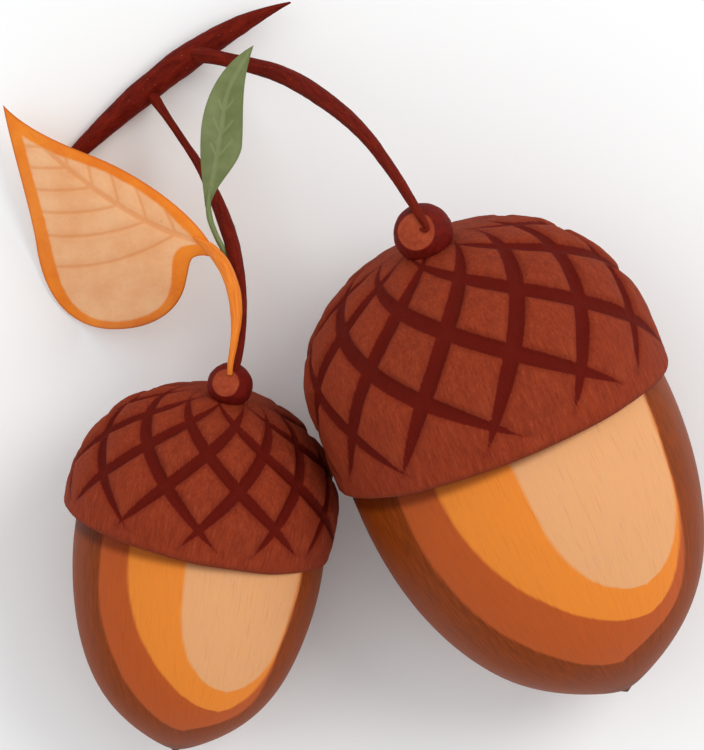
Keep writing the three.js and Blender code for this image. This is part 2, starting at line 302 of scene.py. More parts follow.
def distance_to_line(points, line):
    """The distance from each point in the plane to a polyline, and the share along it."""
    a, b = line[:-1], line[1:]
    step = b - a
    length = np.maximum((step**2).sum(1), 1e-12)
    best = np.full(len(points), 1e9)
    where = np.zeros(len(points))
    for k in range(len(a)):
        t = np.clip(((points - a[k]) @ step[k]) / length[k], 0, 1)
        d = np.linalg.norm(points - a[k] - t[:, None] * step[k], axis=1)
        closer = d < best
        best = np.where(closer, d, best)
        where = np.where(closer, (k + t) / len(a), where)
    return best, where


# ---- Mesh helpers ----
def closed_tube(name, rings, start, end, attributes):
    """One closed mesh from rows of rings and a tip at each end, with its attributes."""
    rows, columns = rings.shape[:2]
    vertices = np.concatenate([[start], rings.reshape(-1, 3), [end]]) * MM
    row, column = np.meshgrid(np.arange(rows - 1), np.arange(columns), indexing="ij")
    after = (column + 1) % columns
    corner = [row * columns + column, (row + 1) * columns + column]
    corner += [(row + 1) * columns + after, row * columns + after]
    quads = np.stack(corner, -1).reshape(-1, 4) + 1
    here = np.arange(columns)
    following = (here + 1) % columns
    last = (rows - 1) * columns + 1
    first_fan = np.stack([np.zeros_like(here), here + 1, following + 1], -1)
    last_fan = np.stack([np.full_like(here, rows * columns + 1), following + last, here + last], -1)

    a, b, c, d = (vertices[quads[:, k]] for k in range(4))
    outward = (np.cross(b - a, c - a) * a).sum() + (np.cross(c - a, d - a) * a).sum()
    if outward < 0:
        quads, first_fan, last_fan = quads[:, ::-1], first_fan[:, ::-1], last_fan[:, ::-1]

    mesh = bpy.data.meshes.new(name)
    mesh.from_pydata(vertices.tolist(), [], quads.tolist() + first_fan.tolist() + last_fan.tolist())
    for key, values in attributes.items():
        flat = values.reshape(rows * columns, -1)
        whole = np.concatenate([flat[:columns].mean(0)[None], flat, flat[-columns:].mean(0)[None]])
        kind = "FLOAT" if whole.shape[1] == 1 else "FLOAT_VECTOR"
        layer = mesh.attributes.new(key, kind, "POINT")
        layer.data.foreach_set("value" if kind == "FLOAT" else "vector", whole.ravel())
    mesh.shade_smooth()
    piece = bpy.data.objects.new(name, mesh)
    bpy.context.scene.collection.objects.link(piece)
    return piece


def transformed(matrix, points):
    """An array of points, moved by a matrix."""
    m = np.array(matrix)
    return points @ m[:3, :3].T + m[:3, 3]


def finish_piece(piece, node, material):
    """Paint a piece, hang it from the root, and hide the CAD node it stands for."""
    piece.data.materials.append(material)
    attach(piece, "root")
    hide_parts(node)


# ---- Acorn shapes, the same as the part's own solids but finer ----
def nut_radius(nut, along):
    """A nut is fullest at its belly. A round shoulder hides in the cup and a nose narrows to its tip."""
    hidden = np.clip((nut["belly"] - along) / (nut["belly"] - nut["top"]), 0, 1)
    shown = np.clip((along - nut["belly"]) / (nut["tip"] - nut["belly"]), 0, 1)
    shoulder = np.maximum(0, 1 - hidden**2.5) ** (1 / 2.5)
    nose = np.sqrt(np.maximum(0, 1 - shown**2)) * (1 - 0.45 * shown**10)
    return nut["radius"] * np.where(along < nut["belly"], shoulder, nose)


def cup_radius(spec, along):
    """A cup is a dome down to its widest place, and draws in a little from there to its rim."""
    cup, full = spec["cup"], spec["fullness"]
    up = np.clip((cup["widest"] - along) / (cup["widest"] - cup["crown"]), 0, 1)
    down = np.clip((along - cup["widest"]) / (cup["rim"] - cup["widest"]), 0, 1)
    dome = cup["radius"] * np.maximum(0, 1 - up**full) ** (1 / full)
    skirt = cup["radius"] + (cup["rim_radius"] - cup["radius"]) * down**2
    return np.where(along < cup["widest"], dome, skirt)


def resting_tilt(spec):
    """The tilt at which the cup's rim and the nut's belly lie on the surface together."""
    past = np.arange(2, 16, 0.25)
    room = spec["cup"]["rim_radius"] - nut_radius(spec["nut"], spec["cup"]["rim"] + past)
    return math.atan((room / past).min())


def acorn_place(spec):
    """Where an acorn lies: its crown's middle is straight under its knob, and its tip points to -Y."""
    crown = box_middle("knob_" + spec["name"]) - Vector((0, 0, spec["perch"]))
    turn = Matrix.Rotation(math.radians(spec["turn"]), 4, "Z")
    return Matrix.Translation(crown) @ turn @ Matrix.Rotation(resting_tilt(spec), 4, "X")


def nut_place(spec):
    """The nut sits a little askew in its cup, turned about the middle of the rim."""
    nut, rim = spec["nut"], spec["cup"]["rim"]
    pivot = Matrix.Translation((nut["aside"], -rim, 0))
    skew = Matrix.Rotation(math.radians(nut["skew"]), 4, "Z")
    return acorn_place(spec) @ pivot @ skew @ Matrix.Translation((0, rim, 0))


def seated(points):
    """Nothing goes below the surface the sprig lies on."""
    points[..., 2] = np.maximum(points[..., 2], 0.0)
    return points


def painted_light_depths(spec, share, side, radius):
    """How far each point of a nut lies inside each band of painted light and shade."""
    length = spec["nut"]["tip"] - spec["cup"]["rim"]
    depths = {}
    for name, band in PAINTED_LIGHT_BANDS.items():
        close, end = band["close"], band["end"]
        far = np.clip(share / end, 0, 1)
        turn_in = [(1 - far**bow) ** (1 / blunt) for bow, blunt in zip(band["bows"], band["roundness"])]
        left_edge = close - (close - band["left"]) * turn_in[0]
        right_edge = close + (BAND_RIGHT - BAND_DRAWN_IN * far - close) * turn_in[1]
        inside = np.minimum(side - left_edge, right_edge - side) * radius
        depths[name] = np.where(share > end, np.minimum((end - share) * length, inside), inside)
    return depths


def build_nut(spec, material):
    """A smooth shell with faint ridges, a point at its tip and painted light and shade on its upper side."""
    nut, rim = spec["nut"], spec["cup"]["rim"]
    rows, columns = 150, 224
    umbo_from = nut["tip"] - UMBO["before_tip"]
    umbo_to = nut["tip"] + UMBO["past_tip"]
    t = np.linspace(0, 1, rows + 2)[1:-1][:, None]
    along = nut["top"] + (umbo_to - nut["top"]) * (1 - np.cos(math.pi * t)) / 2
    angle = (np.arange(columns) / columns * TAU - math.pi)[None]
    on_umbo = np.clip((along - umbo_from) / (umbo_to - umbo_from), 0, 1)
    umbo = UMBO["width"] * nut["radius"] * (1 - on_umbo) ** 0.9
    radius = np.maximum(nut_radius(nut, along), np.where(along > umbo_from, umbo, 0))

    rng = np.random.default_rng(spec["seed"])
    ridges = 0 * angle
    for count in NUT_RIDGES["counts"]:
        ridges = ridges + np.sin(count * angle + rng.uniform(0, TAU)) / count**0.7
    out_of_cup = smoothstep(rim - 1, rim + 3, along)
    before_tip = smoothstep(nut["tip"], nut["tip"] - 8, along)
    radius = radius + NUT_RIDGES["height"] * ridges * out_of_cup * before_tip
    across, up = np.sin(angle), np.cos(angle)
    local = np.stack([radius * across, -along + 0 * radius, radius * up], -1)
    dents = noise_field(local, NUT_DENTS["scale"], spec["seed"])[..., None]
    local = local * (1 + NUT_DENTS["share"] * dents * (1, 0, 1))

    share = np.clip((along - rim) / (nut["tip"] - rim), -0.2, 1.1)
    side = np.where(np.abs(angle) > math.pi / 2, np.sign(across), across)
    attributes = painted_light_depths(spec, share, side, radius)
    attributes["fibre"] = np.stack(np.broadcast_arrays(10 * across, 10 * up, 0.12 * along), -1)
    attributes["from_tip"] = nut["tip"] - along + 0 * radius
    attributes["from_rim"] = along - rim + 0 * radius

    place = nut_place(spec)
    start = transformed(place, np.array([0, -nut["top"], 0.0]))
    end = transformed(place, np.array([0, -umbo_to, 0.0]))
    rings = seated(transformed(place, local))
    piece = closed_tube(f"nut_{spec['name']}_shell", rings, start, end, attributes)
    finish_piece(piece, f"nut_{spec['name']}", material)


def cup_outside(spec, rows):
    """Even rows down a cup's outside: their radius, place, distance from the crown and depth."""
    cup = spec["cup"]
    samples = cup["crown"] + (cup["rim"] - CUP_LIP - cup["crown"]) * np.linspace(0, 1, 4000) ** 2
    even = resample(np.stack([cup_radius(spec, samples), samples], -1), rows + 1)[1:]
    steps = np.hypot(*np.diff(np.concatenate([[[0, cup["crown"]]], even]), axis=0).T)
    middle_radius = np.concatenate([[even[0, 0] / 2], (even[1:, 0] + even[:-1, 0]) / 2])
    depth = np.cumsum(steps / scale_size(cup, middle_radius))
    return even[:, :1], even[:, 1:], np.cumsum(steps)[:, None], depth[:, None]


def scale_size(cup, radius):
    """Scales narrow only a little towards the crown, and depth is measured in this size."""
    return radius**0.3 * cup["radius"] ** 0.7


def scale_grooves(spec, depth, radius, angle):
    """How far each point is from the nearest groove's middle, its place on its scale, and which scale."""
    size = scale_size(spec["cup"], radius)
    places = []
    for spiral, start in zip((BACKWARD, FORWARD), spec["spirals"]):
        place = spiral["count"] * angle / TAU + spiral["lean"] * depth + start
        steepness = np.hypot(spiral["count"] / (TAU * radius), spiral["lean"] / size)
        off = np.abs(place - np.round(place)) / steepness
        places.append((place, off))
    near = np.minimum(places[0][1], places[1][1])
    towards_rim = ((places[0][0] % 1) + 1 - (places[1][0] % 1)) / 2
    scrambled = np.sin(np.floor(places[0][0]) * 12.9898 + np.floor(places[1][0]) * 78.233) * 43758.5453
    return near, towards_rim, scrambled % 1


def round_circle(angle):
    """Places round a circle, for noise that changes with the angle only."""
    return np.stack([np.sin(angle), np.cos(angle), 0 * angle], -1)


def scale_relief(spec, angle, radius, travelled, depth):
    """How far the scales and grooves stand off the smooth cup, and what its finish asks of them."""
    big = spec["cup"]["radius"] / LARGE["cup"]["radius"]
    from_crown, from_rim = travelled / big, (travelled[-1] + CUP_LIP - travelled) / big

    # Grooves start as points a little way from the crown, and end as points short of the rim.
    ragged = noise_field(3 * round_circle(angle), 1.7, 5) / big
    fade = smoothstep(3.6, 6.8, from_crown + 0.8 * ragged) * smoothstep(1.3, 3.4, from_rim + 0.5 * ragged)
    broad = smoothstep(3.3, 12.0, from_crown) * smoothstep(0.5, 7.5, from_rim)
    near, towards_rim, which = scale_grooves(spec, depth, radius, angle)
    off_groove = near - GROOVE_HALF_WIDTH * big * (1.1 * broad**0.7 + 0.08) * fade**0.6
    sunk = 1 - smoothstep(-0.45, 0.4, off_groove)
    pillow = 1 - np.exp(-np.maximum(off_groove, 0) / 0.9)
    scale = SCALE_HEIGHT + SCALE_TIP_LIFT * (towards_rim - 0.45) + SCALE_UNEVENNESS * (which - 0.5)
    relief = fade * (scale * pillow - GROOVE_DEPTH * sunk) * (0.3 + 0.7 * broad)
    seen = {
        "off_groove": np.where(fade > 0.002, off_groove, 1.0),
        "towards_rim": towards_rim,
        "which_scale": which,
        "scaly": fade + 0 * depth,
    }
    return relief, seen


def cup_unevenness(spec, angle, radius, along):
    """Fine woody wrinkles, an uneven wall, and the flat where the two cups grew together."""
    spots = np.stack([radius * np.sin(angle), radius * np.cos(angle), along + 0 * angle], -1)
    seed, widest = spec["seed"], spec["cup"]["widest"]
    wrinkles = WRINKLES["height"] * noise_field(spots, WRINKLES["scale"], seed)
    fibres = FIBRES["height"] * noise_field(spots * FIBRES["stretch"], FIBRES["scale"], seed + 1)
    uneven = UNEVEN_WALL["height"] * noise_field(spots, UNEVEN_WALL["scale"], seed + 2)
    facing = np.cos(angle - math.radians(spec["pressed"]["facing"]))
    low = smoothstep(0.35 * widest, 0.95 * widest, along)
    pressed = spec["pressed"]["depth"] * smoothstep(0.6, 1.0, facing) * low
    return wrinkles + fibres + uneven - pressed


def hollow_radius(spec, angle, along):
    """The radius of the cup's hollow, which follows the skewed nut."""
    nut, rim = spec["nut"], spec["cup"]["rim"]
    ball = nut_radius(nut, along) + HOLLOW_CLEARANCE
    aside = nut["aside"] + (along - rim) * math.sin(math.radians(nut["skew"]))
    return aside * np.sin(angle) + np.sqrt(np.maximum(ball**2 - (aside * np.cos(angle)) ** 2, 0))


def build_cup(spec, material):
    """A scaly cup with a rolled lip and a hollow that the nut sits in."""
    cup, nut = spec["cup"], spec["nut"]
    columns, outer_rows, inner_rows, lip_rows = 384, 150, 26, 9
    angle = (np.arange(columns) / columns * TAU - math.pi)[None]
    radius, along, travelled, depth = cup_outside(spec, outer_rows)
    relief, seen = scale_relief(spec, angle, radius, travelled, depth)
    relief = relief + cup_unevenness(spec, angle, radius, along)

    # The relief stands square to the wall.
    slope_out, slope_down = np.gradient(radius, axis=0), np.gradient(along, axis=0)
    length = np.hypot(slope_out, slope_down)
    out_radius = radius + relief * slope_down / length
    out_along = along - relief * slope_out / length

    # The rolled lip waves a little. The inside wall goes on from it up to the nut's top.
    wave = LIP_WAVE * noise_field(2.2 * round_circle(angle), 1.0, spec["seed"])
    out_along = out_along + wave * smoothstep(0.7 * cup["rim"], cup["rim"], along)
    lip_from = cup["rim"] - CUP_LIP
    outer, inner = out_radius[-1:], hollow_radius(spec, angle, np.full((1, 1), lip_from))
    bend = np.linspace(0, math.pi, lip_rows + 2)[1:-1][:, None]
    lip_radius = (outer + inner) / 2 + (outer - inner) / 2 * np.cos(bend)
    lip_along = out_along[-1:] + CUP_LIP * np.sin(bend)
    wall = np.linspace(0, 1, inner_rows)[:, None] ** 0.8
    wall_along = lip_from + (nut["top"] + 0.02 - lip_from) * wall
    wall_radius = hollow_radius(spec, angle, wall_along)
    wall_along = wall_along + wave * (1 - wall)

    all_radius = np.concatenate([out_radius, lip_radius, wall_radius])
    all_along = np.concatenate([out_along, lip_along, wall_along])
    local = np.stack([all_radius * np.sin(angle), -all_along, all_radius * np.cos(angle)], -1)
    attributes = {}
    for key, plain in (("off_groove", 1.0), ("towards_rim", 0.5), ("which_scale", 0.5), ("scaly", 0.0)):
        inside = np.full((lip_rows + inner_rows, columns), plain)
        attributes[key] = np.concatenate([seen[key], inside])
    inward = np.concatenate([np.zeros((outer_rows, 1)), np.sin(bend / 2), np.ones((inner_rows, 1))])
    attributes["inward"] = inward + 0 * all_radius
    attributes["woody"] = local * (1, 0.4, 1)

    place = acorn_place(spec)
    start = transformed(place, np.array([0, -cup["crown"], 0.0]))
    end = transformed(place, np.array([0, -nut["top"], 0.0]))
    rings = seated(transformed(place, local))
    piece = closed_tube(f"cup_{spec['name']}_scales", rings, start, end, attributes)
    finish_piece(piece, f"cup_{spec['name']}", material)


def build_knob(spec, material):
    """A woody boss with a slightly dished face whose paler colour is a painted highlight."""
    rows, columns = 72, 96
    seed = spec["seed"]
    turn = Vector(spec["face"]["towards"]).to_track_quat("Z", "Y").to_matrix()
    polar = np.linspace(0, math.pi, rows + 2)[1:-1][:, None]
    angle = (np.arange(columns) / columns * TAU)[None]
    across = np.sin(polar)
    ball = np.stack([across * np.cos(angle), across * np.sin(angle), np.cos(polar) + 0 * angle], -1)
    edge = math.radians(spec["face"]["size"]) * (1 + 0.05 * noise_field(ball * (1, 1, 0), 1.5, seed))
    off_face = (polar - edge) * spec["knob"]
    lumps = 0.05 * noise_field(ball, 1.6, seed) + 0.02 * noise_field(ball, 5.0, seed)
    dish = KNOB_FACE["dish"] * (1 - smoothstep(-0.5, 0.1, off_face))
    raised = KNOB_FACE["rim"] * np.exp(-((off_face - 0.05) / KNOB_FACE["rim_width"]) ** 2)
    growth = np.sin(polar * spec["knob"] * KNOB_FACE["ring_pitch"]) * (off_face < 0)
    radius = spec["knob"] * (1 + 0.6 * lumps) - dish + raised + KNOB_FACE["rings"] * growth
    centre = np.array(box_middle("knob_" + spec["name"]))
    rings = transformed(turn.to_4x4(), ball * radius[..., None]) + centre
    start = np.array(turn @ Vector((0, 0, radius[0].mean()))) + centre
    end = np.array(turn @ Vector((0, 0, -radius[-1].mean()))) + centre
    attributes = {"off_face": off_face + 0 * angle, "woody": ball * spec["knob"]}
    piece = closed_tube(f"knob_{spec['name']}_boss", rings, start, end, attributes)
    finish_piece(piece, f"knob_{spec['name']}", material)


# ---- Rods ----
def rod_frames(path):
    """Two directions square to the path at each point, turning as little as they can."""
    tangent = np.gradient(path, axis=0)
    tangent /= np.linalg.norm(tangent, axis=1)[:, None]
    side = np.cross(tangent[0], (0.0, 0.0, 1.0))
    sides = []
    for direction in tangent:
        side = side - direction * (side @ direction)
        side /= np.linalg.norm(side)
        sides.append(side)
    sides = np.array(sides)
    return sides, np.cross(tangent, sides), tangent


def build_rod(name, rod, path):
    """A tapering round rod with long ridges in its bark, and swellings."""
    rows, columns, seed = rod["rows"], rod["columns"], rod["seed"]
    side, up, tangent = rod_frames(path)
    angle = (np.arange(columns) / columns * TAU)[None]
    share = np.linspace(0, 1, rows)[:, None]
    step = np.linalg.norm(np.diff(path, axis=0), axis=1)
    travelled = np.concatenate([[0], np.cumsum(step)])[:, None]
    radii = np.interp(share[:, 0], np.linspace(0, 1, len(rod["radii"])), rod["radii"])
    radius = radii[:, None] + 0 * angle
    for place, width, height in rod["swellings"]:
        radius = radius + height * np.exp(-(((share - place) / width) ** 2))
    rng = np.random.default_rng(seed)
    ridges = 0 * radius
    for count in BARK_RIDGE_COUNTS:
        twist = rng.uniform(-0.25, 0.25) * travelled
        ridges = ridges + np.sin(count * angle + twist + rng.uniform(0, TAU)) / count**0.5
    cosine, sine = np.cos(angle) + 0 * share, np.sin(angle) + 0 * share
    spots = np.stack([cosine, sine, travelled * 0.9 + 0 * angle], -1)
    lumps = noise_field(spots, 1.1, seed) + 0.5 * noise_field(spots, 3.1, seed + 1)
    radius = radius * (1 + rod["bark"] * (0.35 * ridges + 0.8 * lumps))
    outward = cosine[..., None] * side[:, None] + sine[..., None] * up[:, None]
    rings = path[:, None] + radius[..., None] * outward
    woody = np.stack([cosine, sine, travelled * 0.35 + 0 * angle], -1)
    attributes = {"ridge": ridges, "woody": woody}
    start = path[0] - tangent[0] * radii[0] * 0.12
    end = path[-1] + tangent[-1] * radii[-1] * 0.9
    return closed_tube(name, seated(rings), start, end, attributes)


def sprig(points):
    """Design points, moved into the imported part's frame."""
    return np.array(points, float) + np.array(SHIFT)


# ---- Leaves ----
def autumn_height(x, y):
    """The autumn leaf hangs from its root, droops to its sides, and levels off near the surface."""
    right, up = x - AUTUMN_ROOT[0], y - AUTUMN_ROOT[1]
    along = AUTUMN_DIRECTION[0] * right + AUTUMN_DIRECTION[1] * up
    aside = -AUTUMN_DIRECTION[1] * right + AUTUMN_DIRECTION[0] * up
    hanging = AUTUMN_ROOT[2] - 0.42 * along - 0.01 * along**2 - 0.5 * aside - 0.055 * aside**2
    return (hanging + np.hypot(hanging, 1.5)) / 2


def green_height(x, y):
    """The green leaf arches gently along its length, with its sides bent up into a shallow trough."""
    along = y - GREEN_ROOT[1]
    aside = x - (GREEN_ROOT[0] + 0.2 * along)
    return GREEN_ROOT[2] + 0.12 * along - 0.034 * along**2 + 0.12 * aside**2


def side_veins(leaf, midrib, outline):
    """Veins that leave the midrib on both sides and bow towards the tip."""
    veins = []
    for place in leaf["vein_places"]:
        for hand in (1, -1):
            at = place * (len(midrib) - 1)
            k = int(at)
            along = midrib[k + 1] - midrib[k]
            point = midrib[k] + along * (at - k)
            leaving = math.radians(leaf["vein_angle"] * (1 - 0.25 * place))
            bearing = math.atan2(along[1], along[0]) + hand * leaving
            vein = [point]
            while len(vein) < 90:
                point = point + SIDE_VEIN["step"] * np.array([math.cos(bearing), math.sin(bearing)])
                if distance_to_line(point[None], outline)[0][0] < SIDE_VEIN["short_of_edge"]:
                    break
                bearing -= hand * SIDE_VEIN["bow"]
                vein.append(point)
            if len(vein) > 4:
                veins.append(np.array(vein))
    return veins


def build_leaf(name, leaf, height_at, material, margin_width=None):
    """A thin closed blade with veins pressed into it, a waved edge and a thinner rim."""
    sides, rings = 336, 56
    outline = resample(bezier(leaf["start"], leaf["edge"] + [leaf["start"] * 3], 60), sides + 1)
    middle = np.array(leaf["middle"])
    inwards = np.linspace(1, 0, rings + 1)[:-1]
    out = np.concatenate([np.linspace(0, 1, rings + 1)[1:], [1.0], inwards])
    face = np.concatenate([-np.ones(rings), [0], np.ones(rings)])[:, None]
    flat = middle + out[:, None, None] * (outline[:-1] - middle)
    grid, plane = flat.shape[:2], flat.reshape(-1, 2)

    midrib = resample(curve_through([(*p, 0) for p in leaf["midrib"]], 60)[:, :2], 60)
    from_edge = distance_to_line(plane, outline)[0].reshape(grid)
    to_midrib, where = (v.reshape(grid) for v in distance_to_line(plane, midrib))
    to_vein = np.full(grid, 9.0)
    for vein in side_veins(leaf, midrib, outline):
        to_vein = np.minimum(to_vein, distance_to_line(plane, vein)[0].reshape(grid))

    x, y = flat[..., 0], flat[..., 1]
    spot = np.stack([x, y, 0 * x], -1)
    relief = -MIDRIB["depth"] * np.exp(-((to_midrib / MIDRIB["width"]) ** 2)) * (1 - 0.6 * where)
    pressed = SIDE_VEIN["depth"] * np.exp(-((to_vein / SIDE_VEIN["width"]) ** 2))
    relief = relief - pressed * smoothstep(0, 1.2, from_edge)
    relief = relief + 0.035 * noise_field(spot, 1.1, leaf["seed"]) * smoothstep(0, 1.0, from_edge)
    waves = leaf["ruffle"] * noise_field(spot, 0.33, leaf["seed"] + 3)
    waves = waves * (1 - smoothstep(0, 4.0, from_edge))
    thick = leaf["thickness"] * (0.35 + 0.65 * smoothstep(0, 0.5, from_edge))
    z = height_at(x, y) + relief + waves + face * thick / 2
    points = np.stack([x, y, z], -1)

    attributes = {
        "from_edge": from_edge,
        "to_vein": np.minimum(to_vein, to_midrib - 0.12 * (1 - 0.7 * where)),
        "underside": (face < 0) + 0.0 * x,
        "tissue": spot,
    }
    if margin_width:
        attributes["from_margin"] = from_edge - margin_width(flat - middle)
    top = height_at(*middle)
    start, end = (np.array([*middle, top + s * leaf["thickness"] / 2]) for s in (-1, 1))
    shift = np.array(SHIFT)
    blade = closed_tube(f"leaf_{name}_blade", seated(points + shift), start + shift, end + shift, attributes)
    finish_piece(blade, f"leaf_{name}", material)


def autumn_margin(offset):
    """The orange margin is widest in the notch by the stem and on the left, and narrowest at the root."""
    bearing = np.arctan2(offset[..., 1], offset[..., 0])
    left = np.exp(-((np.abs(bearing) - math.pi) / 0.75) ** 2)
    low_left = np.exp(-(((bearing + 2.4) / 0.4) ** 2))
    bottom = np.exp(-(((bearing + 1.5) / 0.45) ** 2))
    notch = np.exp(-(((bearing + 0.5) / 0.38) ** 2))
    tip = np.exp(-(((bearing - 2.33) / 0.22) ** 2))
    root = np.exp(-(((offset - (7.3, -2.2)) / 1.9) ** 2).sum(-1))
    wider = 0.3 * left + 0.3 * low_left + 0.75 * notch + 0.12 * tip
    return 0.74 + wider - 0.14 * bottom - 0.45 * root


# ---- Materials ----
def rgb(red, green, blue):
    """A screen colour as the linear colour that a shader takes."""
    values = [c / 255 for c in (red, green, blue)]
    return [c / 12.92 if c < 0.04 else ((c + 0.055) / 1.055) ** 2.4 for c in values] + [1.0]


class Finish:
    """A node material, built from small steps that each return the socket of their result."""

    # The places of a mix node's two colours among its inputs, and of its result among its outputs.
    FIRST_COLOUR, SECOND_COLOUR, MIXED_COLOUR = 6, 7, 2

    def __init__(self, name):
        self.material = bpy.data.materials.new(name)
        self.material.use_nodes = True
        self.nodes = self.material.node_tree.nodes
        self.shader = self.nodes["Principled BSDF"]

    def link(self, value, socket):
        """Wire a result into a socket, or set a plain value there."""
        if isinstance(value, bpy.types.NodeSocket):
            self.material.node_tree.links.new(value, socket)
        elif value is not None:
            socket.default_value = value

    def attribute(self, name, vector=False):
        """A number or a vector that a mesh carries at each of its points."""
        node = self.nodes.new("ShaderNodeAttribute")
        node.attribute_name = name
        return node.outputs["Vector" if vector else "Fac"]

    def noise(self, vector, scale, detail=4.0, roughness=0.55):
        node = self.nodes.new("ShaderNodeTexNoise")
        self.link(vector, node.inputs["Vector"])
        node.inputs["Scale"].default_value = scale
        node.inputs["Detail"].default_value = detail
        node.inputs["Roughness"].default_value = roughness
        return node.outputs["Fac"]

    def cells(self, vector, scale):
        """The distance to the nearest of many scattered spots."""
        node = self.nodes.new("ShaderNodeTexVoronoi")
        self.link(vector, node.inputs["Vector"])
        node.inputs["Scale"].default_value = scale
        return node.outputs["Distance"]

    def math(self, operation, first, second=0.0):
        node = self.nodes.new("ShaderNodeMath")
        node.operation = operation
        self.link(first, node.inputs[0])
        self.link(second, node.inputs[1])
        return node.outputs["Value"]

    def blend(self, value, low, high, to_low=0.0, to_high=1.0):
        """A smooth change from to_low to to_high as a value goes from low to high."""
        node = self.nodes.new("ShaderNodeMapRange")
        node.interpolation_type = "SMOOTHSTEP"
        self.link(value, node.inputs["Value"])
        ends = {"From Min": low, "From Max": high, "To Min": to_low, "To Max": to_high}
        for socket, number in ends.items():
            node.inputs[socket].default_value = number
        return node.outputs["Result"]

    def mix(self, factor, first, second, mode="MIX"):
        """The second colour over the first, by a factor."""
        node = self.nodes.new("ShaderNodeMix")
        node.data_type = "RGBA"
        node.blend_type = mode
        self.link(factor, node.inputs["Factor"])
        self.link(first, node.inputs[self.FIRST_COLOUR])
        self.link(second, node.inputs[self.SECOND_COLOUR])
        return node.outputs[self.MIXED_COLOUR]

    def stretch(self, vector, factors):
        """A vector scaled along its axes, so that the noise it drives is drawn out."""
        node = self.nodes.new("ShaderNodeVectorMath")
        node.operation = "MULTIPLY"
        self.link(vector, node.inputs[0])
        node.inputs[1].default_value = factors
        return node.outputs["Vector"]

    def wobble(self, noise, size):
        """Noise turned into a shift either way, which makes the edges of colour zones uneven."""
        return self.math("MULTIPLY", self.math("SUBTRACT", noise, 0.5), size)

    def bump(self, height, distance, strength=1.0, base=None):
        """A finish's finest relief, at a distance in millimetres."""
        node = self.nodes.new("ShaderNodeBump")
        node.inputs["Distance"].default_value = distance * MM
        node.inputs["Strength"].default_value = strength
        self.link(height, node.inputs["Height"])
        self.link(base, node.inputs["Normal"])
        return node.outputs["Normal"]

    def done(self, colour, roughness, normal, specular):
        """Wire up the shader and hand over the finished material."""
        self.link(colour, self.shader.inputs["Base Color"])
        self.link(roughness, self.shader.inputs["Roughness"])
        self.link(normal, self.shader.inputs["Normal"])
        self.shader.inputs["Specular IOR Level"].default_value = specular
        return self.material


def nut_finish():
    f = Finish("nut_shell")
    fibre = f.attribute("fibre", vector=True)
    broad = f.noise(fibre, 0.9, 3)
    fine = f.noise(fibre, 5.5, 5, 0.6)
    wobble = f.math("ADD", f.wobble(broad, 0.35), f.wobble(fine, 0.2))
    colour = f.mix(f.blend(fine, 0.3, 0.72), rgb(118, 49, 8), rgb(136, 62, 15))
    # The rust, orange and peach bands are painted light and shade, the peach a painted highlight.
    painted_light_tints = {"rust": rgb(178, 84, 38), "orange": rgb(226, 132, 51), "peach": rgb(222, 162, 113)}
    for band, tint in painted_light_tints.items():
        inside = f.blend(f.math("ADD", f.attribute(band), wobble), -0.2, 0.2)
        colour = f.mix(inside, colour, tint)
    streaks = f.blend(fine, 0.35, 0.7)
    colour = f.mix(f.math("MULTIPLY", streaks, 0.2), colour, rgb(250, 200, 150), "SOFT_LIGHT")
    lines = f.blend(f.noise(f.stretch(fibre, (1, 1, 0.3)), 9, 3, 0.7), 0.54, 0.72)
    colour = f.mix(f.math("MULTIPLY", lines, 0.16), colour, rgb(110, 46, 18), "MULTIPLY")
    # A painted shadow darkens the shell in a thin line just below the cup's rim.
    painted_rim_shadow = f.blend(f.attribute("from_rim"), 0.1, 0.9, 0.6, 0.0)
    colour = f.mix(painted_rim_shadow, colour, rgb(110, 48, 22), "MULTIPLY")
    at_tip = f.blend(f.attribute("from_tip"), 0.0, 0.8, 0.8, 0.0)
    colour = f.mix(at_tip, colour, rgb(84, 36, 18))
    ring = f.math("ABSOLUTE", f.math("SUBTRACT", f.attribute("from_tip"), 0.72))
    colour = f.mix(f.blend(ring, 0.05, 0.3, 0.4, 0.0), colour, rgb(92, 40, 18))
    roughness = f.blend(fine, 0.2, 0.8, 0.34, 0.5)
    normal = f.bump(fine, 0.06, 0.6)
    return f.done(colour, roughness, normal, specular=0.05)


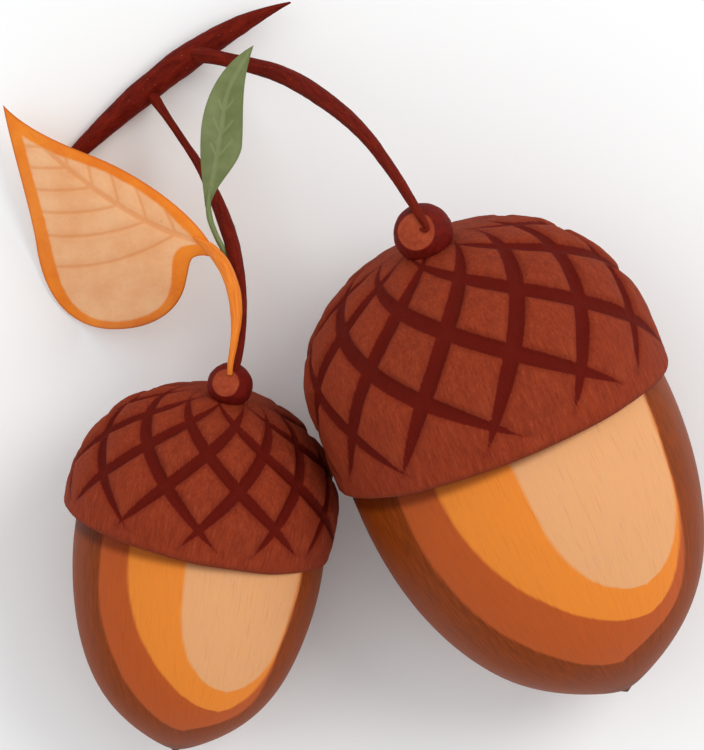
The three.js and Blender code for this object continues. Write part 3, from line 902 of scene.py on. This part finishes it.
def cup_finish():
    f = Finish("cup_scales")
    woody = f.attribute("woody", vector=True)
    grain = f.noise(woody, 1.6, 6, 0.62)
    fine = f.noise(f.stretch(woody, (1, 0.45, 1)), 7.0, 4, 0.6)
    fibres = f.noise(f.stretch(woody, (1, 0.3, 1)), 5.0, 3, 0.75)
    colour = f.mix(f.blend(grain, 0.25, 0.75), rgb(126, 46, 25), rgb(148, 58, 32))
    tint = f.blend(f.attribute("which_scale"), 0.0, 1.0, 0.0, 0.4)
    colour = f.mix(tint, colour, rgb(146, 54, 28))
    towards_rim = f.blend(f.attribute("towards_rim"), 0.55, 1.0, 0.0, 0.3)
    scaly = f.attribute("scaly")
    colour = f.mix(f.math("MULTIPLY", towards_rim, scaly), colour, rgb(160, 75, 44))
    colour = f.mix(f.blend(fibres, 0.5, 0.66, 0.0, 0.5), colour, rgb(114, 38, 20))
    colour = f.mix(f.blend(fibres, 0.46, 0.3, 0.0, 0.4), colour, rgb(170, 80, 49))
    flecks = f.blend(fine, 0.6, 0.72, 0.0, 0.5)
    colour = f.mix(flecks, colour, rgb(92, 30, 18))
    off_groove = f.math("ADD", f.attribute("off_groove"), f.wobble(fine, 0.25))
    colour = f.mix(f.blend(off_groove, 0.0, 0.6, 0.35, 0.0), colour, rgb(112, 32, 18))
    colour = f.mix(f.blend(off_groove, -0.07, 0.07, 1.0, 0.0), colour, rgb(96, 19, 8))
    colour = f.mix(f.math("MULTIPLY", f.attribute("inward"), 0.75), colour, rgb(96, 40, 24))
    roughness = f.blend(grain, 0.2, 0.8, 0.7, 0.9)
    normal = f.bump(fine, 0.1, 0.7)
    normal = f.bump(fibres, 0.12, 0.8, normal)
    normal = f.bump(grain, 0.12, 0.4, normal)
    return f.done(colour, roughness, normal, specular=0.08)


def knob_finish():
    f = Finish("knob_boss")
    woody = f.attribute("woody", vector=True)
    grain = f.noise(woody, 1.8, 6, 0.6)
    fine = f.noise(woody, 7.5, 4)
    dark = f.mix(f.blend(grain, 0.3, 0.7), rgb(92, 14, 7), rgb(112, 22, 11))
    # The pale colour is a painted highlight on the face; the dark colour is the rest of the boss.
    pale = f.mix(f.blend(grain, 0.3, 0.7), rgb(148, 56, 31), rgb(166, 74, 44))
    off_face = f.math("ADD", f.attribute("off_face"), f.wobble(fine, 0.14))
    colour = f.mix(f.blend(off_face, -0.07, 0.07), pale, dark)
    normal = f.bump(fine, 0.08, 0.6)
    return f.done(colour, f.blend(grain, 0.2, 0.8, 0.55, 0.8), normal, specular=0.1)


def bark_finish():
    f = Finish("bark")
    woody = f.attribute("woody", vector=True)
    grain = f.noise(woody, 2.6, 6, 0.62)
    long_fibres = f.noise(f.stretch(woody, (1, 1, 0.3)), 7.0, 4)
    colour = f.mix(f.blend(grain, 0.3, 0.72), rgb(88, 16, 7), rgb(118, 30, 15))
    colour = f.mix(f.blend(f.attribute("ridge"), 0.4, 1.6, 0.0, 0.3), colour, rgb(134, 46, 28))
    pores = f.blend(f.cells(f.stretch(woody, (1, 1, 1.6)), 3.2), 0.06, 0.13, 0.65, 0.0)
    colour = f.mix(pores, colour, rgb(168, 104, 72))
    cracks = f.blend(long_fibres, 0.6, 0.7, 0.0, 0.5)
    colour = f.mix(cracks, colour, rgb(58, 12, 8))
    normal = f.bump(long_fibres, 0.07, 0.6)
    normal = f.bump(pores, 0.05, 0.5, normal)
    return f.done(colour, f.blend(grain, 0.2, 0.8, 0.55, 0.8), normal, specular=0.06)


def stem_finish(name, low, high):
    f = Finish(name)
    woody = f.attribute("woody", vector=True)
    grain = f.noise(f.stretch(woody, (1, 1, 0.5)), 3.0, 5)
    colour = f.mix(f.blend(grain, 0.3, 0.7), low, high)
    normal = f.bump(grain, 0.05, 0.5)
    return f.done(colour, f.blend(grain, 0.2, 0.8, 0.42, 0.6), normal, specular=0.15)


def autumn_finish():
    f = Finish("autumn_leaf")
    tissue = f.attribute("tissue", vector=True)
    mottle = f.noise(tissue, 0.35, 5, 0.6)
    fine = f.noise(tissue, 3.2, 5, 0.65)
    network = f.cells(tissue, 2.6)
    inner = f.mix(f.blend(mottle, 0.3, 0.7), rgb(238, 170, 116), rgb(246, 188, 138))
    inner = f.mix(f.blend(network, 0.0, 0.35, 0.18, 0.0), inner, rgb(214, 132, 76))
    vein = f.blend(f.attribute("to_vein"), 0.05, 0.18, 0.42, 0.0)
    inner = f.mix(vein, inner, rgb(222, 128, 56))
    halo = f.blend(f.attribute("to_vein"), 0.1, 0.8, 0.14, 0.0)
    inner = f.mix(halo, inner, rgb(226, 140, 72))
    margin = f.mix(f.blend(mottle, 0.3, 0.7), rgb(232, 119, 20), rgb(243, 138, 34))
    wobble = f.math("ADD", f.wobble(mottle, 0.22), f.wobble(fine, 0.14))
    inside = f.blend(f.math("ADD", f.attribute("from_margin"), wobble), -0.1, 0.12)
    colour = f.mix(inside, margin, inner)
    colour = f.mix(f.blend(f.attribute("from_edge"), 0.0, 0.22, 0.45, 0.0), colour, rgb(176, 72, 18))
    freckles = f.blend(f.noise(tissue, 1.5, 2), 0.7, 0.78, 0.0, 0.35)
    colour = f.mix(freckles, colour, rgb(178, 88, 40))
    colour = f.mix(f.math("MULTIPLY", f.attribute("underside"), 0.35), colour, rgb(214, 164, 124))
    roughness = f.blend(fine, 0.2, 0.8, 0.45, 0.65)
    normal = f.bump(fine, 0.05, 0.5)
    normal = f.bump(network, 0.05, 0.3, normal)
    return f.done(colour, roughness, normal, specular=0.2)


def green_finish():
    f = Finish("green_leaf")
    tissue = f.attribute("tissue", vector=True)
    mottle = f.noise(tissue, 0.5, 5, 0.6)
    fine = f.noise(tissue, 3.6, 5, 0.65)
    colour = f.mix(f.blend(mottle, 0.3, 0.7), rgb(99, 109, 63), rgb(116, 125, 79))
    vein = f.blend(f.attribute("to_vein"), 0.04, 0.14, 0.4, 0.0)
    colour = f.mix(vein, colour, rgb(134, 143, 96))
    colour = f.mix(f.blend(fine, 0.6, 0.75, 0.0, 0.3), colour, rgb(86, 94, 56))
    colour = f.mix(f.blend(f.attribute("from_edge"), 0.0, 0.25, 0.4, 0.0), colour, rgb(96, 106, 62))
    colour = f.mix(f.math("MULTIPLY", f.attribute("underside"), 0.4), colour, rgb(150, 158, 120))
    normal = f.bump(fine, 0.05, 0.5)
    return f.done(colour, f.blend(fine, 0.2, 0.8, 0.42, 0.6), normal, specular=0.22)


# ---- The sprig ----
nut_material, cup_material, knob_material = nut_finish(), cup_finish(), knob_finish()
for acorn in (LARGE, SMALL):
    build_nut(acorn, nut_material)
    build_cup(acorn, cup_material)
for acorn in (LARGE, SMALL):
    build_knob(acorn, knob_material)

bark_material = bark_finish()
twig_curve = bezier(TWIG["route"][0], [sum(TWIG["route"][1:], ())], 90)
twig = build_rod("twig_bark", TWIG, sprig(resample(twig_curve, TWIG["rows"])))
finish_piece(twig, "twig", bark_material)
for name, rod in (("stalk_large", LARGE_STALK), ("stalk_small", SMALL_STALK)):
    stalk = build_rod(name + "_bark", rod, curve_through(sprig(rod["route"]), rod["rows"]))
    finish_piece(stalk, name, bark_material)


def build_leaf_stem(name, rod, low, high):
    """A leaf's own stem, in a material that goes between two colours."""
    path = curve_through(sprig(rod["route"]), rod["rows"])
    stem = build_rod(f"leaf_{name}_stem", rod, path)
    finish_piece(stem, f"leaf_{name}", stem_finish(f"{name}_stem", low, high))


build_leaf("autumn", AUTUMN, autumn_height, autumn_finish(), autumn_margin)
build_leaf_stem("autumn", AUTUMN["stem"], rgb(218, 112, 30), rgb(236, 138, 48))
build_leaf("green", GREEN, green_height, green_finish())
build_leaf_stem("green", GREEN["stem"], rgb(104, 116, 70), rgb(128, 140, 92))

# ---- Stage: a pale floor, soft studio light, and a camera looking straight down ----
FLOOR_SIZE = 16.0
SKY_STRENGTH = 0.76
DARKER_FLOOR, LIGHTER_FLOOR = [0.93, 0.94, 0.945, 1.0], [0.95, 0.96, 0.965, 1.0]
floor_mesh = bpy.data.meshes.new("floor")
signs = ((-1, -1), (1, -1), (1, 1), (-1, 1))
corners = [(sx * FLOOR_SIZE / 2, sy * FLOOR_SIZE / 2, 0.0) for sx, sy in signs]
floor_mesh.from_pydata(corners, [], [(0, 1, 2, 3)])
floor = bpy.data.objects.new("floor", floor_mesh)
bpy.context.scene.collection.objects.link(floor)
pale = Finish("floor")
paper = pale.noise(None, 60.0, 4)
pale_colour = pale.mix(paper, DARKER_FLOOR, LIGHTER_FLOOR)
floor_mesh.materials.append(pale.done(pale_colour, 0.85, None, specular=0.1))

world = bpy.data.worlds.new("studio")
world.use_nodes = True
world.node_tree.nodes["Background"].inputs["Color"].default_value = (1.0, 1.0, 1.0, 1.0)
world.node_tree.nodes["Background"].inputs["Strength"].default_value = SKY_STRENGTH
bpy.context.scene.world = world


def area_light(name, place, size, power, tint):
    """A round soft light that points at the origin. Places and sizes are in metres."""
    light = bpy.data.lights.new(name, "AREA")
    light.shape = "DISK"
    light.size = size
    light.energy = power
    light.color = tint
    lamp = bpy.data.objects.new(name, light)
    lamp.location = place
    lamp.rotation_mode = "QUATERNION"
    lamp.rotation_quaternion = (-Vector(place)).to_track_quat("-Z", "Y")
    bpy.context.scene.collection.objects.link(lamp)


area_light("key_light", place=(0.30, 0.16, 0.42), size=0.30, power=1.05, tint=(1.0, 0.99, 0.97))
area_light("fill_light", place=(-0.40, 0.10, 0.45), size=0.5, power=0.4, tint=(0.96, 0.98, 1.0))

# A long lens from far off keeps the view almost free of perspective.
PICTURE_HEIGHT = 58.0 * MM
FOCUS_HEIGHT = 14 * MM
CAMERA_DISTANCE = 1.2
camera_data = bpy.data.cameras.new("camera")
camera_data.sensor_width = 36.0
camera_data.lens = camera_data.sensor_width * CAMERA_DISTANCE / PICTURE_HEIGHT
camera_data.clip_start = 0.05
camera_data.clip_end = 10.0
camera = bpy.data.objects.new("camera", camera_data)
camera.location = (0.0, 0.0, FOCUS_HEIGHT + CAMERA_DISTANCE)
bpy.context.scene.collection.objects.link(camera)
bpy.context.scene.camera = camera
bpy.context.scene.view_settings.view_transform = "Standard"
